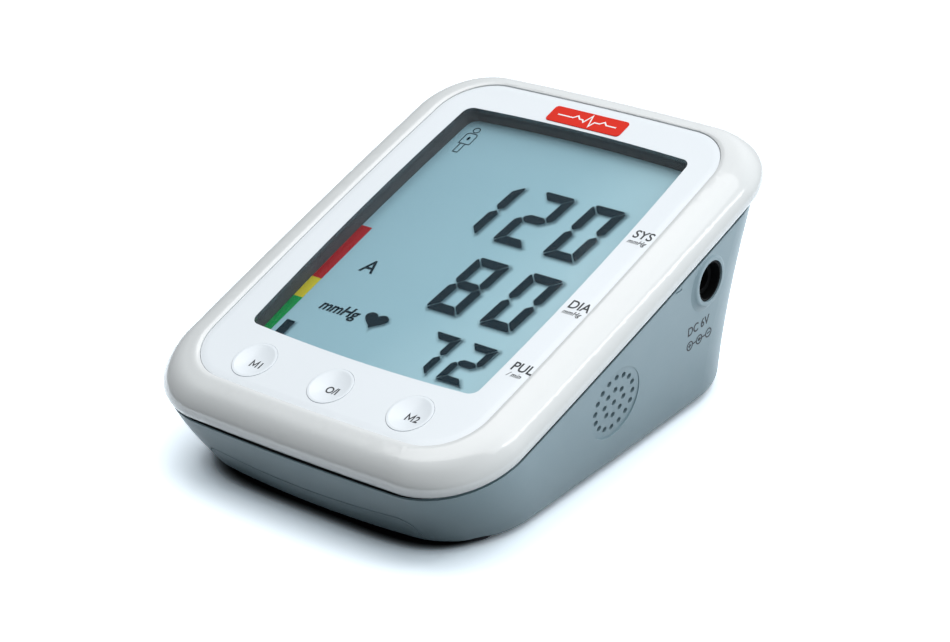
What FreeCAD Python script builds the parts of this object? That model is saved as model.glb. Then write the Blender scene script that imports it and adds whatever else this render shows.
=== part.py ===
import FreeCAD, Part
import math
import os
from FreeCAD import Vector, Rotation, Placement

os.makedirs("parts", exist_ok=True)

# ---------------------------------------------------------------- driving dimensions (mm, deg)
# World frame: origin under the middle of the base, on the surface it stands on.
# +X is the user's right, +Y points away from the user, +Z is up.
# Panel frame (u, v, w): lies in the front panel's face, u = +X, v up the slope, w out of the panel.
TILT = 16.0             # slope of the front panel
CENTRE_Y = 3.01          # the layout's zero is this far in front of the middle of the whole object; files are written about the middle
PANEL_Y = 7.4           # world Y of the window centre
PANEL_Z = 45.6          # world Z of the window centre
BASE_Z = 0.8            # underside of the tub, standing on its feet
WALL = 2.2

# tub: front point, rear point, half width and corner radius at base, middle and rim
TUB_F = [(-56.8, 0.8), (-61.4, 9.5), (-63.7, 18.03)]
TUB_B = [(55.9, 0.8), (60.1, 28.3), (67.94, 55.78)]
TUB_HX = [49.3, 53.2, 56.1]
TUB_RC = [21.5, 23.4, 22.6]
TUB_RF = [300.0, 420.0, 1000.0]
TUB_BASE_FILLET = 4.0

# white shell outline (outer) and panel outline, both in the panel frame
SHELL = dict(hx=56.5, vf=-75.9, vr=63.7, rc=22.4, rb=20.0, rs=2500.0, rf=1400.0, rr=830.0)
PANEL = dict(hx=46.3, vf=-65.6, vr=57.3, rc=14.6, rb=14.6, rs=1500.0, rf=1200.0, rr=1200.0)
SHELL_EDGE = -6.4       # lower edge of the shell
TUB_RIM = -7.3          # upper edge of the tub, a thin shadow gap below it
RIM_PROFILE = [(0.03, SHELL_EDGE), (0.0, -5.2), (0.05, -3.7), (0.16, -2.4), (0.31, -1.2), (0.53, -0.2), (0.78, 0.21), (1.0, 0.08)]
SHELL_CEIL_TOP = -1.2   # panel seat
SHELL_CEIL_LOW = -3.2
SHELL_SIDE = 2.4

# display window
WIN = dict(hx=38.27, vf=-47.12, vr=47.0, rc=2.8, rs=826.0, rf=522.0, rr=575.0)
LCD_TOP = -4.6
LCD_LOW = -7.2
FRAME_LOW = -7.35

# buttons
BTN_V = -56.8
BTN_DU = 25.77
BTN_R = 6.0
BTN_HOLE_R = 6.1
BTN_FLANGE_R = 6.6
BTN_LIP = 0.36          # the panel is this thin over the button's flange

# board
PCB_TOP = -8.1
PCB_T = 1.4
PCB_HX = 40.0
PCB_VF = -62.0
PCB_VR = 55.0
POST_UV = [(-36.0, -57.0), (36.0, -57.0), (-36.0, 51.5), (36.0, 51.5)]

# battery bay and cover
CELL_R = 7.1
CELL_L = 50.5
CELL_X = [-22.5, -7.5, 7.5, 22.5]
CELL_Z = 10.35
BAY_HX = 30.2
BAY_YF = -51.4
BAY_YR = 6.0
BAY_TOP = 17.6
BAY_WALL = 1.2
COVER_HX = 34.0
COVER_YR = 13.0
COVER_TOP_Z = 9.9
COVER_DIP = 1.7         # the cover's upper edge is lower in the middle
COVER_GAP = 0.25
TAB_X = 15.0

# side openings
GRILLE_YZ = (-5.2, 20.6)
GRILLE_LEAN = 11.2
GRILLE_R = 9.7
GRILLE_DISH = 0.5
DC_YZ = (32.7, 37.4)
DC_HOLE_R = 5.4
DC_PROUD = 0.64         # the middle of the hole's flat rim stands this far out of the wall
AIR_YZ = (33.5, 31.8)
AIR_HOLE_R = 6.2

# feet and case screws
FOOT_XY = [(-39.4, -43.4), (39.4, -43.4), (-39.4, 43.4), (39.4, 43.4)]
FOOT_POCKET_R = 6.5
FOOT_R = 4.8
SCREW_XY = [(-44.6, -25.0), (44.6, -25.0), (-44.6, 20.0), (44.6, 20.0)]
SCREW_ZT = [14.0, 14.0, 20.0, 20.0]

PANEL_PLACEMENT = Placement(Vector(0, PANEL_Y, PANEL_Z), Rotation(Vector(1, 0, 0), TILT))


# ---------------------------------------------------------------- helpers
def tilt(shape):
    s = shape.copy()
    s.Placement = PANEL_PLACEMENT.multiply(s.Placement)
    return s


def to_world(u, v, w):
    return PANEL_PLACEMENT.multVec(Vector(u, v, w))


def circ_meet(c1, r1, c2, r2, sx, sy):
    """Meeting point of two circles on the side given by the signs."""
    dx, dy = c2[0] - c1[0], c2[1] - c1[1]
    d = math.hypot(dx, dy)
    a = (r1 * r1 - r2 * r2 + d * d) / (2 * d)
    h = math.sqrt(max(r1 * r1 - a * a, 0.0))
    mx, my = c1[0] + a * dx / d, c1[1] + a * dy / d
    best = None
    for sg in (1, -1):
        p = (mx - sg * h * dy / d, my + sg * h * dx / d)
        score = p[0] * sx + p[1] * sy
        if best is None or score > best[0]:
            best = (score, p)
    return best[1]


def outline(hx, vf, vr, rc, rs, rf, rr, z=0.0, rb=None):
    """Rounded rectangle with slightly bowed sides, every joint tangent. Closed wire at height z. rb: radius of the two rear corners."""
    front_rc, rear_rc = rc, rc if rb is None else rb
    vm = 0.5 * (vf + vr)
    cr = (hx - rs, vm)
    cl = (-hx + rs, vm)
    cf = (0.0, vf + rf)
    cb = (0.0, vr - rr)
    corners = []
    for cs, big, ce, rend, sx, sy in ((cr, rs, cf, rf, 1, -1), (cr, rs, cb, rr, 1, 1), (cl, rs, cb, rr, -1, 1), (cl, rs, cf, rf, -1, -1)):
        rc = rear_rc if sy > 0 else front_rc
        c0 = (cs[0], cs[1] - vm)
        e0 = (ce[0], ce[1] - vm)
        p = circ_meet(c0, big - rc, e0, rend - rc, sx, sy)
        p = (p[0], p[1] + vm)

        def away(c, q=p, r=rc):
            d = math.hypot(q[0] - c[0], q[1] - c[1])
            return (q[0] + (q[0] - c[0]) / d * r, q[1] + (q[1] - c[1]) / d * r)
        ts = away(cs)
        te = away(ce)
        mx, my = ts[0] + te[0] - 2 * p[0], ts[1] + te[1] - 2 * p[1]
        md = math.hypot(mx, my)
        mid = (p[0] + mx / md * rc, p[1] + my / md * rc)
        corners.append((ts, te, mid))

    def V(p):
        return Vector(p[0], p[1], z)
    (fr_s, fr_e, fr_m), (br_s, br_e, br_m), (bl_s, bl_e, bl_m), (fl_s, fl_e, fl_m) = corners
    edges = [
        Part.Arc(V(fl_e), V((0, vf)), V(fr_e)).toShape(),
        Part.Arc(V(fr_e), V(fr_m), V(fr_s)).toShape(),
        Part.Arc(V(fr_s), V((hx, vm)), V(br_s)).toShape(),
        Part.Arc(V(br_s), V(br_m), V(br_e)).toShape(),
        Part.Arc(V(br_e), V((0, vr)), V(bl_e)).toShape(),
        Part.Arc(V(bl_e), V(bl_m), V(bl_s)).toShape(),
        Part.Arc(V(bl_s), V((-hx, vm)), V(fl_s)).toShape(),
        Part.Arc(V(fl_s), V(fl_m), V(fl_e)).toShape(),
    ]
    return Part.Wire(edges)


def grow(o, d):
    """The outline moved outward by d (inward when negative)."""
    return dict(hx=o["hx"] + d, vf=o["vf"] - d, vr=o["vr"] + d, rc=max(o["rc"] + d, 0.3), rb=max(o.get("rb", o["rc"]) + d, 0.3),
                rs=o["rs"] + d, rf=o["rf"] + d, rr=o["rr"] + d)


def blend(a, b, k):
    return {key: a[key] * (1 - k) + b[key] * k for key in a}


def prism(o, z0, z1):
    f = Part.Face(outline(z=z0, **o))
    return f.extrude(Vector(0, 0, z1 - z0))


def box(x0, x1, y0, y1, z0, z1):
    return Part.makeBox(x1 - x0, y1 - y0, z1 - z0, Vector(x0, y0, z0))


def cyl(r, p0, p1):
    p0, p1 = Vector(*p0), Vector(*p1)
    d = p1.sub(p0)
    return Part.makeCylinder(r, d.Length, p0, d)


def quad(vals, k):
    """Quadratic through three values at k = 0, 0.5 and 1."""
    a, m, b = vals
    return a * (1 - k) * (1 - 2 * k) + m * 4 * k * (1 - k) + b * k * (2 * k - 1)


def tub_wire(k, inset):
    fy, fz = quad([p[0] for p in TUB_F], k), quad([p[1] for p in TUB_F], k)
    by, bz = quad([p[0] for p in TUB_B], k), quad([p[1] for p in TUB_B], k)
    pitch = math.degrees(math.atan2(bz - fz, by - fy))
    half = 0.5 * math.hypot(by - fy, bz - fz)
    w = outline(quad(TUB_HX, k) - inset, -half + inset, half - inset, quad(TUB_RC, k) - inset,
                2500.0 - inset, quad(TUB_RF, k) - inset, 900.0 - inset)
    w.Placement = Placement(Vector(0, 0.5 * (fy + by), 0.5 * (fz + bz)), Rotation(Vector(1, 0, 0), pitch))
    return w


def one(shape):
    """The largest solid of a result, refined."""
    s = shape.removeSplitter()
    sol = sorted(s.Solids, key=lambda q: -q.Volume)
    return sol[0]


NODES = {}


def emit(name, shape):
    if not shape.isValid():
        print("NOT VALID", name)
    NODES[name] = shape
    placed = shape.copy()
    placed.translate(Vector(0, -CENTRE_Y, 0))
    placed.exportStep("parts/" + name + ".step")
    b = placed.BoundBox
    print("%-20s solids %d vol %9.1f  x %.2f..%.2f y %.2f..%.2f z %.2f..%.2f" % (
        name, len(shape.Solids), shape.Volume, b.XMin, b.XMax, b.YMin, b.YMax, b.ZMin, b.ZMax))


# ---------------------------------------------------------------- tub (lower housing) skin
outer = Part.makeLoft([tub_wire(k, 0.0) for k in (0.0, 0.25, 0.5, 0.75, 1.0)], True, False)
base_edges = [e for e in outer.Edges if e.BoundBox.ZMax < BASE_Z + 0.01]
outer = outer.makeFillet(TUB_BASE_FILLET, base_edges)
FLOOR_Z = BASE_Z + WALL


def skin_x(y, z):
    """Half width of the tub's outer skin at (y, z)."""
    ln = Part.LineSegment(Vector(0, y, z), Vector(90, y, z)).toShape().common(outer)
    return max(v.X for v in ln.Vertexes)


GRILLE_C = Vector(skin_x(*GRILLE_YZ), *GRILLE_YZ)
DC_C = Vector(skin_x(*DC_YZ), *DC_YZ)
AIR_C = Vector(-skin_x(*AIR_YZ), *AIR_YZ)
print("grille", GRILLE_C, "dc", DC_C, "air", AIR_C)
floor_cut = box(-80, 80, -90, 90, -5, FLOOR_Z)
inner_low = Part.makeLoft([tub_wire(k, WALL) for k in (-0.02, 0.25, 0.5, 0.75, 1.04)], True, False)
inner = inner_low.cut(floor_cut)
wall = outer.cut(inner).cut(tilt(box(-90, 90, -110, 110, TUB_RIM, 30)))

# cover region: rounded in the front view and in plan
def cover_region(g):
    hx, zt, yr = COVER_HX + g, COVER_TOP_Z + g, COVER_YR + g
    edge = [Part.LineSegment(Vector(-hx, -80, -3), Vector(hx, -80, -3)).toShape(), Part.LineSegment(Vector(hx, -80, -3), Vector(hx, -80, zt)).toShape(),
            Part.Arc(Vector(hx, -80, zt), Vector(0, -80, zt - COVER_DIP), Vector(-hx, -80, zt)).toShape(),
            Part.LineSegment(Vector(-hx, -80, zt), Vector(-hx, -80, -3)).toShape()]
    front = Part.Face(Part.Wire(edge)).extrude(Vector(0, yr + 80, 0))
    ed = [e for e in front.Edges if abs(e.BoundBox.ZMin - zt) < 1e-6 and abs(e.BoundBox.ZMax - zt) < 1e-6
          and e.BoundBox.YLength > 50]
    front = front.makeFillet(4.0, ed)
    plan = box(-hx, hx, -80, yr, -3, zt)
    ed = [e for e in plan.Edges if e.BoundBox.ZLength > 5 and abs(e.BoundBox.YMin - yr) < 1e-6]
    plan = plan.makeFillet(4.0, ed)
    return front.common(plan)


cover = wall.common(cover_region(0.0))
tabs = []
for sx in (-1, 1):
    tabs.append(box(sx * TAB_X - 2.0, sx * TAB_X + 2.0, 9.4, 16.2, 3.2, 4.3))
    tabs.append(box(sx * TAB_X - 2.0, sx * TAB_X + 2.0, 9.4, 12.7, 2.6, 3.3))
cover = cover.multiFuse(tabs)
for i in range(5):
    cover = cover.cut(box(-9, 9, -38.0 + 3.0 * i, -36.8 + 3.0 * i, BASE_Z - 1, BASE_Z + 0.45))
cover = one(cover)

tub = wall.cut(cover_region(COVER_GAP))
inner_fit = inner_low.cut(box(-80, 80, -90, 90, -5, FLOOR_Z - 0.3))
inner_fit = Part.makeLoft([tub_wire(k, WALL - 0.4) for k in (-0.02, 0.25, 0.5, 0.75, 1.0)], True, False).cut(
    box(-80, 80, -90, 90, -5, FLOOR_Z - 0.4))
bay_out = box(-BAY_HX - BAY_WALL, BAY_HX + BAY_WALL, BAY_YF - BAY_WALL, BAY_YR + BAY_WALL, FLOOR_Z - 0.1, BAY_TOP + BAY_WALL)
ledge = box(-37.2, 37.2, -62, 15.4, FLOOR_Z - 0.3, 5.6)
shelf = box(-37.2, 37.2, -63, BAY_YF - 0.4, 5.4, 12.7)
extras = [bay_out, ledge.common(inner_fit), shelf.common(inner_fit)]

# foot pockets' inner discs, screw bosses
for (x, y) in FOOT_XY:
    extras.append(cyl(8.2, (x, y, FLOOR_Z - 0.2), (x, y, 5.6)).common(inner_fit))
for (x, y), zt in zip(SCREW_XY, SCREW_ZT):
    extras.append(cyl(3.5, (x, y, BASE_Z + 1.0), (x, y, zt)).common(inner_fit.fuse(outer.common(box(x - 4, x + 4, y - 4, y + 4, BASE_Z + 1.0, FLOOR_Z)))))

# pump cradle, jack shelf, socket shelf, grille ring
pump_y, pump_z, pump_r = 38.0, 17.6, 12.0
for xr in (6.0, 20.0):
    extras.append(box(xr, xr + 2.0, pump_y - 13.5, pump_y + 13.5, FLOOR_Z - 0.2, 13.0))
extras.append(box(41.0, 54.5, DC_C.y - 4.7, DC_C.y + 4.7, DC_C.z - 7.2, DC_C.z - 5.55).common(inner_fit))
extras.append(box(-54.5, -45.0, AIR_C.y - 5, AIR_C.y + 5, AIR_C.z - 9.0, AIR_C.z - 7.25).common(inner_fit))
gd = Vector(math.cos(math.radians(GRILLE_LEAN)), 0, -math.sin(math.radians(GRILLE_LEAN)))


def along(c, d, t):
    return c.add(Vector(d.x * t, d.y * t, d.z * t))


ring_a, ring_b = along(GRILLE_C, gd, -6.6), along(GRILLE_C, gd, -1.2)
ring = cyl(12.0, ring_a, ring_b).cut(cyl(10.4, ring_a, ring_b)).common(inner_fit)
extras.append(ring)

# tongue round the rim that centres the white shell
root = prism(grow(SHELL, -1.6), TUB_RIM - 3.0, TUB_RIM - 0.05).cut(prism(grow(SHELL, -4.3), TUB_RIM - 4.0, TUB_RIM + 1.0))
lip = prism(grow(SHELL, -3.15), TUB_RIM - 0.2, -4.6).cut(prism(grow(SHELL, -4.3), TUB_RIM - 1.0, -3.4))
outer_open = Part.makeLoft([tub_wire(k, 0.6) for k in (0.5, 0.75, 1.0)], True, False)
extras.append(tilt(root).common(outer_open))
extras.append(tilt(lip))

tub = tub.multiFuse(extras)

# cuts
tub = tub.cut(box(-BAY_HX, BAY_HX, BAY_YF, BAY_YR, FLOOR_Z - 1, BAY_TOP))
open_low = box(-COVER_HX - COVER_GAP, COVER_HX + COVER_GAP, -70, COVER_YR + COVER_GAP, -2, FLOOR_Z + 0.2)
open_front = cover_region(COVER_GAP).common(box(-60, 60, -70, BAY_YF - BAY_WALL, -2, 20))
tub = tub.cut(open_low.common(cover_region(COVER_GAP).fuse(cover_region(COVER_GAP))))
tub = tub.cut(open_front)
for sx in (-1, 1):
    tub = tub.cut(box(sx * TAB_X - 2.3, sx * TAB_X + 2.3, BAY_YR - 0.5, 16.8, FLOOR_Z, 4.7))
tub = tub.cut(cyl(pump_r + 0.02, (-1, pump_y, pump_z), (30, pump_y, pump_z)))
for (x, y) in FOOT_XY:
    tub = tub.cut(cyl(FOOT_POCKET_R, (x, y, -3), (x, y, FLOOR_Z + 0.6)))
    out = Vector(math.copysign(0.796, x), math.copysign(0.605, y), 0)
    tub = tub.cut(cyl(8.4, (x, y, -5.8), (x + 22 * out.x, y + 22 * out.y, -5.8)))
for (x, y), zt in zip(SCREW_XY, SCREW_ZT):
    tub = tub.cut(cyl(2.4, (x, y, -3), (x, y, 6.0)))
    tub = tub.cut(cyl(1.6, (x, y, 0), (x, y, zt + 2)))
# speaker grille: a shallow dish with one centre hole and rings of 8 and 16
dish_a = along(GRILLE_C, gd, -GRILLE_DISH)
tub = tub.cut(cyl(GRILLE_R, dish_a, along(GRILLE_C, gd, 8.0)))
up = Vector(gd.z * -1, 0, gd.x)
side = gd.cross(up)
holes = []
for n, rr_, off in ((1, 0.0, 0.0), (8, 3.7, 0.0), (16, 7.3, 0.0)):
    for i in range(n):
        a = math.radians(360.0 * i / n + off)
        c = GRILLE_C.add(Vector(0, 0, 0))
        c = c.add(Vector(up.x * rr_ * math.cos(a), up.y * rr_ * math.cos(a), up.z * rr_ * math.cos(a)))
        c = c.add(Vector(side.x * rr_ * math.sin(a), side.y * rr_ * math.sin(a), side.z * rr_ * math.sin(a)))
        holes.append(cyl(0.8, along(c, gd, -6.0), along(c, gd, 4.0)))
tub = tub.cut(Part.makeCompound(holes))
# power hole and air hole
# the power hole sits in a flat round rim that leans less than the wall, so it stands proud at its lower front side
dc_n = Vector(math.cos(math.radians(4.5)) ** 2, math.sin(math.radians(4.5)), -math.sin(math.radians(4.5))).normalize()
dc_f = along(Vector(DC_C.x, DC_C.y, DC_C.z), Vector(1, 0, 0), DC_PROUD)
rim_pts = [(6.15, 0.0), (6.5, 0.10), (6.85, 0.42), (7.5, 0.86), (8.5, 1.28), (10.2, 1.70)]
curve = Part.BSplineCurve()
curve.interpolate([Vector(r, 0, -d) for r, d in rim_pts])
prof = Part.Wire([Part.LineSegment(Vector(0, 0, 0), Vector(6.15, 0, 0)).toShape(), curve.toShape(),
                  Part.LineSegment(Vector(10.2, 0, -1.70), Vector(0, 0, -1.70)).toShape(), Part.LineSegment(Vector(0, 0, -1.70), Vector(0, 0, 0)).toShape()])
pad = Part.Face(prof).revolve(Vector(0, 0, 0), Vector(0, 0, 1), 360)
pad = Part.Solid(pad) if pad.ShapeType != "Solid" else pad
pad.Placement = Placement(dc_f, Rotation(Vector(0, 0, 1), dc_n))
pad = pad.cut(tilt(box(-90, 90, -110, 110, TUB_RIM - 0.4, 30)))
tub = tub.fuse(pad)
tub = tub.cut(cyl(DC_HOLE_R, tuple(along(dc_f, dc_n, -4.6)), tuple(along(dc_f, dc_n, 3.0))))
tub = tub.cut(box(skin_x(19.3, 40.6) - 0.3, 60, 18.0, 20.6, 40.3, 40.8))
tub = tub.cut(cyl(AIR_HOLE_R, (AIR_C.x + 5.0, AIR_C.y, AIR_C.z), (AIR_C.x - 8, AIR_C.y, AIR_C.z)))
tub = max(tub.Solids, key=lambda q: q.Volume)
emit("lower_housing", tub)
emit("battery_cover", cover)

# ---------------------------------------------------------------- white top shell
sections = []
for k, w in RIM_PROFILE:
    sections.append(outline(z=w, **blend(SHELL, PANEL, k)))
shell = Part.makeLoft(sections, True, False)
shell = shell.cut(prism(grow(SHELL, -SHELL_SIDE), -9.0, SHELL_CEIL_LOW - 0.6)).cut(prism(grow(SHELL, -5.0), -9.0, SHELL_CEIL_LOW))
shell = shell.cut(prism(PANEL, SHELL_CEIL_TOP, 4.0))
inner_top = [e for e in shell.Edges if e.BoundBox.ZMin > 0.05 and e.BoundBox.ZMax < 0.11]
print("inner top edges", len(inner_top))
shell = shell.makeFillet(0.2, inner_top)
shell = shell.cut(prism(grow(WIN, 3.2), -9.0, 4.0))
for u in (-BTN_DU, 0.0, BTN_DU):
    shell = shell.cut(cyl(BTN_FLANGE_R + 0.5, (u, BTN_V, -9), (u, BTN_V, 4)))
posts = [cyl(2.5, (u, v, PCB_TOP), (u, v, SHELL_CEIL_LOW + 0.5)) for u, v in POST_UV]
shell = shell.multiFuse(posts)
for u, v in POST_UV:
    shell = shell.cut(cyl(1.12, (u, v, PCB_TOP - 1), (u, v, SHELL_CEIL_LOW + 0.2)))
shell = tilt(shell)
below = tilt(box(-90, 90, -110, 110, -100, SHELL_CEIL_LOW + 0.6))
long_posts = []
for (x, y), zt in zip(SCREW_XY, SCREW_ZT):
    long_posts.append(cyl(2.7, (x, y, zt + 0.1), (x, y, 70)).common(below))
shell = shell.multiFuse(long_posts)
for (x, y), zt in zip(SCREW_XY, SCREW_ZT):
    shell = shell.cut(cyl(1.42, (x, y, zt - 1), (x, y, zt + 9)))
shell = one(shell)
emit("top_shell", shell)

# ---------------------------------------------------------------- panel, window, badge
panel = prism(grow(PANEL, -0.12), SHELL_CEIL_TOP + 0.01, -0.16)
rolled = Part.makeLoft([outline(z=w, **grow(PANEL, -0.12 - d)) for d, w in ((0.0, -0.16), (0.22, -0.115), (0.7, -0.06), (1.3, -0.018), (1.95, 0.0))], True, False)
panel = panel.fuse(rolled)
panel = panel.cut(prism(WIN, -3, 2))
for u in (-BTN_DU, 0.0, BTN_DU):
    panel = panel.cut(cyl(BTN_HOLE_R, (u, BTN_V, -3), (u, BTN_V, 2)))
    panel = panel.cut(cyl(BTN_FLANGE_R + 0.15, (u, BTN_V, -3), (u, BTN_V, -BTN_LIP)))
emit("front_panel", one(tilt(panel)))
emit("display_window", one(tilt(prism(grow(WIN, -0.1), SHELL_CEIL_TOP + 0.01, -0.06))))
badge = box(-12.2, 12.2, 47.95, 54.0, 0.01, 0.22)
badge = badge.makeFillet(1.1, [e for e in badge.Edges if e.BoundBox.ZLength > 0.1 and e.BoundBox.XLength < 1e-6 and e.BoundBox.YLength < 1e-6])
badge = badge.makeFillet(0.08, [e for e in badge.Edges if e.BoundBox.ZMin > 0.21])
emit("badge", one(tilt(badge)))

# ---------------------------------------------------------------- display
frame = prism(grow(WIN, 3.0), FRAME_LOW, SHELL_CEIL_TOP - 0.01)
frame = frame.cut(prism(WIN, -9, 2)).cut(prism(grow(WIN, 1.6), -9, LCD_TOP))
emit("lcd_frame", one(tilt(frame)))
emit("lcd_glass", one(tilt(prism(grow(WIN, 1.5), LCD_LOW, LCD_TOP - 0.01))))
conn = [box(-32, 32, -45.2, -42.8, PCB_TOP + 0.01, LCD_LOW - 0.01), box(-32, 32, 42.8, 45.2, PCB_TOP + 0.01, LCD_LOW - 0.01)]
emit("lcd_connector", tilt(Part.makeCompound(conn)))

# ---------------------------------------------------------------- buttons
def button(u):
    cap = cyl(BTN_R, (u, BTN_V, -2.4), (u, BTN_V, 0.12))
    rim = [e for e in cap.Edges if e.BoundBox.ZMin > 0.1]
    cap = cap.makeFillet(0.12, rim)
    # shallow dish in the top, 0.55 deep over a 5.4 radius
    dr, dd = 5.35, 0.55
    R = (dr * dr + dd * dd) / (2 * dd)
    ball = Part.makeSphere(R, Vector(u, BTN_V, 0.12 - dd + R))
    cap = cap.cut(ball)
    flange = cyl(BTN_FLANGE_R, (u, BTN_V, -2.4), (u, BTN_V, -BTN_LIP - 0.06))
    stem = cyl(2.0, (u, BTN_V, -5.2), (u, BTN_V, -2.2))
    return one(tilt(cap.multiFuse([flange, stem])))


emit("button_m1", button(-BTN_DU))
emit("button_power", button(0.0))
emit("button_m2", button(BTN_DU))
switches = []
for u in (-BTN_DU, 0.0, BTN_DU):
    b = box(u - 3, u + 3, BTN_V - 3, BTN_V + 3, PCB_TOP + 0.01, -6.35)
    b = b.fuse(cyl(1.7, (u, BTN_V, -6.5), (u, BTN_V, -5.95)))
    switches.append(one(b))
emit("button_switches", tilt(Part.makeCompound(switches)))

# ---------------------------------------------------------------- board
pcb = box(-PCB_HX, PCB_HX, PCB_VF, PCB_VR, PCB_TOP - PCB_T, PCB_TOP - 0.01)
pcb = pcb.makeFillet(3.0, [e for e in pcb.Edges if e.BoundBox.ZLength > 1])
for u, v in POST_UV:
    pcb = pcb.cut(cyl(1.3, (u, v, -12), (u, v, -8)))
emit("main_board", one(tilt(pcb)))
PCB_LOW = PCB_TOP - PCB_T - 0.01
chips = [box(-7, 7, 6, 20, PCB_LOW - 1.6, PCB_LOW), box(14, 19, -8, 0, PCB_LOW - 1.5, PCB_LOW),
         box(-35, -30, -22, -12, PCB_LOW - 1.5, PCB_LOW), cyl(3.1, (28, 6, PCB_LOW - 8), (28, 6, PCB_LOW)),
         cyl(2.5, (20, 14, PCB_LOW - 7), (20, 14, PCB_LOW))]
emit("board_parts", tilt(Part.makeCompound(chips)))
screws = []
for u, v in POST_UV:
    s = cyl(2.2, (u, v, PCB_LOW - 1.3), (u, v, PCB_LOW)).fuse(cyl(1.1, (u, v, PCB_LOW - 0.1), (u, v, -5.2)))
    s = s.cut(box(u - 1.5, u + 1.5, v - 0.25, v + 0.25, PCB_LOW - 2, PCB_LOW - 0.7))
    screws.append(one(s))
emit("board_screws", tilt(Part.makeCompound(screws)))
sens_v, sens_w = -2.6, -13.6
sensor = box(-17, -7, sens_v - 5, sens_v + 5, PCB_LOW - 5.8, PCB_LOW)
sensor = sensor.fuse(cyl(1.9, (-21.9, sens_v, sens_w), (-16.0, sens_v, sens_w)))
sensor = sensor.cut(cyl(0.8, (-24.0, sens_v, sens_w), (-15.0, sens_v, sens_w)))
emit("pressure_sensor", one(tilt(sensor)))
SENS = to_world(0, sens_v, sens_w)

# ---------------------------------------------------------------- pump, valve, air path
motor = cyl(pump_r, (0.0, pump_y, pump_z), (26.0, pump_y, pump_z))
motor = motor.makeFillet(1.2, motor.Edges)
motor = motor.fuse(cyl(3.2, (25.5, pump_y, pump_z), (27.6, pump_y, pump_z)))
emit("pump_motor", one(motor))
head = box(-17.0, -0.05, pump_y - 13.0, pump_y + 13.0, 4.4, 30.8)
head = head.makeFillet(3.0, [e for e in head.Edges if e.BoundBox.XLength > 10])
head = head.fuse(cyl(1.9, (-21.9, AIR_C.y, 22.0), (-16.5, AIR_C.y, 22.0)))
emit("pump_head", one(head))
valve_x, valve_y = -34.0, 43.6
valve = box(valve_x - 6.2, valve_x + 6.2, 37.4, 49.4, 5.62, 21.0)
valve = valve.makeFillet(1.0, [e for e in valve.Edges if e.BoundBox.ZLength > 10])
valve = valve.fuse(cyl(4.5, (valve_x, valve_y, 20.5), (valve_x, valve_y, 23.0)))
valve = valve.fuse(cyl(1.9, (valve_x, valve_y, 22.5), (valve_x, valve_y, 28.5)))
emit("release_valve", one(valve))
ax, ay, az = AIR_C.x, AIR_C.y, AIR_C.z
sock = cyl(6.1, (ax + 0.3, ay, az), (ax + 5.2, ay, az)).fuse(cyl(7.2, (ax + 4.0, ay, az), (ax + 5.8, ay, az)))
sock = sock.fuse(cyl(5.0, (ax + 5.6, ay, az), (-42.0, ay, az)))
sock = sock.fuse(cyl(1.9, (-42.2, ay, az), (-36.5, ay, az)))
sock = sock.cut(cyl(3.1, (-60, ay, az), (-44.0, ay, az)))
sock = sock.cut(cyl(0.9, (-50, ay, az), (-36, ay, az)))
emit("air_socket", one(sock))
mx = -26.6
man = cyl(3.4, (mx, ay - 4, az), (mx, ay + 4, az))
for end in ((mx - 5.4, ay, az), (mx, ay, az - 5.2), (mx, ay - 9.5, az), (mx, ay + 6.8, az)):
    man = man.fuse(cyl(1.9, (mx, ay, az), end))
for end in ((mx - 6, ay, az), (mx, ay, az - 6), (mx, ay - 10, az), (mx, ay + 10, az)):
    man = man.cut(cyl(0.8, (mx, ay, az), end))
emit("air_manifold", one(man))


def hose(points, ri=1.95, ro=2.7, bend=6.0):
    """A hose along straight runs with tangent arcs, bored right through."""
    pts = [Vector(*p) for p in points]
    edges = []
    last = pts[0]
    for i in range(1, len(pts) - 1):
        a, b, c = pts[i - 1], pts[i], pts[i + 1]
        d1 = b.sub(a).normalize()
        d2 = c.sub(b).normalize()
        turn = d1.getAngle(d2)
        t = bend * math.tan(turn / 2)
        p1 = b.sub(Vector(d1.x * t, d1.y * t, d1.z * t))
        p2 = b.add(Vector(d2.x * t, d2.y * t, d2.z * t))
        m = d2.sub(d1).normalize()
        ctr_d = bend / math.cos(turn / 2)
        mid = b.add(Vector(m.x * (ctr_d - bend), m.y * (ctr_d - bend), m.z * (ctr_d - bend)))
        if last.distanceToPoint(p1) > 1e-4:
            edges.append(Part.LineSegment(last, p1).toShape())
        edges.append(Part.Arc(p1, mid, p2).toShape())
        last = p2
    edges.append(Part.LineSegment(last, pts[-1]).toShape())
    wire = Part.Wire(edges)
    d = pts[1].sub(pts[0])
    res = []
    for r in (ro, ri):
        if r > 0:
            prof = Part.Wire([Part.makeCircle(r, pts[0], d)])
            res.append(wire.makePipeShell([prof], True, False))
    return res[0].cut(res[1]) if len(res) > 1 else res[0]


hoses = [
    hose([(-40.2, ay, az), (mx - 3.5, ay, az)]),
    hose([(-17.3, ay, 22.0), (mx, ay, 22.0), (mx, ay, az - 3.5)], bend=4.5),
    hose([(valve_x, valve_y, 23.1), (valve_x, valve_y, az), (mx, valve_y, az), (mx, ay + 4.1, az)], bend=3.2),
    hose([(mx, ay - 4.1, az), (mx, SENS.y, az), (-17.2, SENS.y, az)], bend=4.5),
]
emit("air_tubes", Part.makeCompound(hoses))

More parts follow.
